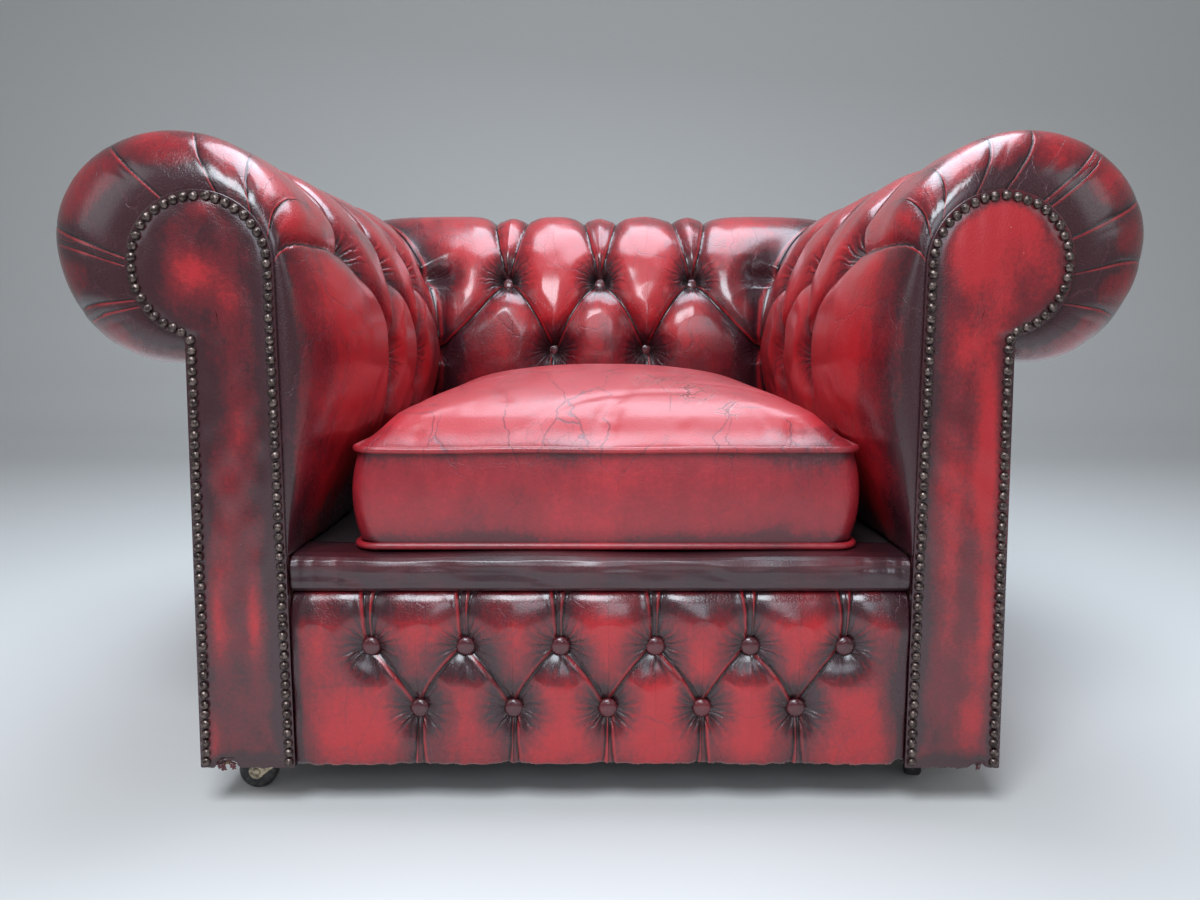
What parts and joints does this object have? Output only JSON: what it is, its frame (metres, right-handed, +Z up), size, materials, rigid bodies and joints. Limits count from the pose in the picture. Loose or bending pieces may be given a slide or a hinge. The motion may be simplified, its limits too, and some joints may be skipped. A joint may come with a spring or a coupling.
{
  "type": "club chair",
  "caption": "Low leather club chair with rolled scroll arms, deep-buttoned arms, back and front rail, a loose crowned seat cushion, nailed facings and swivelling castors, worn and rubbed.",
  "frame": {"origin": "on the floor, under the middle of the chair's overall box", "axes": "+Z up; the seat opens towards -Y; +X is to the right of a person who looks at the front"},
  "size_m": [1.0818, 0.9189, 0.6809],
  "materials": {
    "pad_leather": "hand-antiqued oxblood leather, rubbed to bright red on the crowns and near black in the folds",
    "facing_leather": "antiqued oxblood leather, dark along the nailed edges",
    "dark_leather": "dark brown-plum leather, rubbed to a low shine",
    "cushion_leather": "bright oxblood leather, creased and cracked on the crown",
    "deck_cloth": "dark lining cloth",
    "dust_cloth": "thin black non-woven cloth",
    "nails": "antique bronze domed heads, worn brighter on top",
    "hardwood": "bare planed beech",
    "spring_steel": "plain drawn wire",
    "castor_metal": "dull yellow plating, worn",
    "wheel_rubber": "hard black tread, dusty"
  },
  "bodies": {
    "chair": {"arm_pad_left": "pad_leather", "arm_pad_right": "pad_leather", "back_pad": "pad_leather", "front_border": "pad_leather", "outer_arm_left": "pad_leather", "outer_arm_right": "pad_leather", "outer_back": "pad_leather", "facing_left": "facing_leather", "facing_right": "facing_leather", "seat_lip": "dark_leather", "seat_platform": "deck_cloth", "seat_cushion": "cushion_leather", "cushion_piping_top": "cushion_leather", "cushion_piping_bottom": "cushion_leather", "nail_trim_left": "nails", "nail_trim_right": "nails", "dust_cover": "dust_cloth", "arm_post_left": "hardwood", "arm_post_right": "hardwood", "front_rail": "hardwood", "back_rail": "hardwood", "side_rail_left": "hardwood", "side_rail_right": "hardwood", "arm_top_rail_left": "hardwood", "arm_top_rail_right": "hardwood", "arm_tack_rail_left": "hardwood", "arm_tack_rail_right": "hardwood", "front_corner_block_left": "hardwood", "front_corner_block_right": "hardwood", "back_corner_block_left": "hardwood", "back_corner_block_right": "hardwood", "back_post_left": "hardwood", "back_post_right": "hardwood", "back_top_rail": "hardwood", "back_tack_rail": "hardwood", "seat_spring_1": "spring_steel", "seat_spring_2": "spring_steel", "seat_spring_3": "spring_steel", "seat_spring_4": "spring_steel", "castor_plate_front_left": "castor_metal", "castor_plate_front_right": "castor_metal", "castor_plate_back_left": "castor_metal", "castor_plate_back_right": "castor_metal"},
    "fork_front_left": {"castor_fork_front_left": "castor_metal", "castor_axle_front_left": "castor_metal"},
    "wheel_front_left": {"castor_wheel_front_left": "wheel_rubber"},
    "fork_front_right": {"castor_fork_front_right": "castor_metal", "castor_axle_front_right": "castor_metal"},
    "wheel_front_right": {"castor_wheel_front_right": "wheel_rubber"},
    "fork_back_left": {"castor_fork_back_left": "castor_metal", "castor_axle_back_left": "castor_metal"},
    "wheel_back_left": {"castor_wheel_back_left": "wheel_rubber"},
    "fork_back_right": {"castor_fork_back_right": "castor_metal", "castor_axle_back_right": "castor_metal"},
    "wheel_back_right": {"castor_wheel_back_right": "wheel_rubber"}
  },
  "joints": [
    {"name": "swivel_front_left", "type": "hinge", "parent": "chair", "child": "fork_front_left", "pos_m": [-0.338, -0.3991, 0.04], "axis": [0, 0, 1], "continuous": true},
    {"name": "wheel_front_left", "type": "hinge", "parent": "fork_front_left", "child": "wheel_front_left", "pos_m": [-0.365, -0.3991, 0.02], "axis": [0, -1, 0], "continuous": true},
    {"name": "swivel_front_right", "type": "hinge", "parent": "chair", "child": "fork_front_right", "pos_m": [0.338, -0.3991, 0.04], "axis": [0, 0, 1], "continuous": true},
    {"name": "wheel_front_right", "type": "hinge", "parent": "fork_front_right", "child": "wheel_front_right", "pos_m": [0.34361, -0.37269, 0.02], "axis": [-0.9781, 0.2079, 0], "continuous": true},
    {"name": "swivel_back_left", "type": "hinge", "parent": "chair", "child": "fork_back_left", "pos_m": [-0.338, 0.2589, 0.04], "axis": [0, 0, 1], "continuous": true},
    {"name": "wheel_back_left", "type": "hinge", "parent": "fork_back_left", "child": "wheel_back_left", "pos_m": [-0.35068, 0.28274, 0.02], "axis": [-0.8829, -0.4695, 0], "continuous": true},
    {"name": "swivel_back_right", "type": "hinge", "parent": "chair", "child": "fork_back_right", "pos_m": [0.338, 0.2589, 0.04], "axis": [0, 0, 1], "continuous": true},
    {"name": "wheel_back_right", "type": "hinge", "parent": "fork_back_right", "child": "wheel_back_right", "pos_m": [0.35068, 0.28274, 0.02], "axis": [-0.8829, 0.4695, 0], "continuous": true}
  ]
}
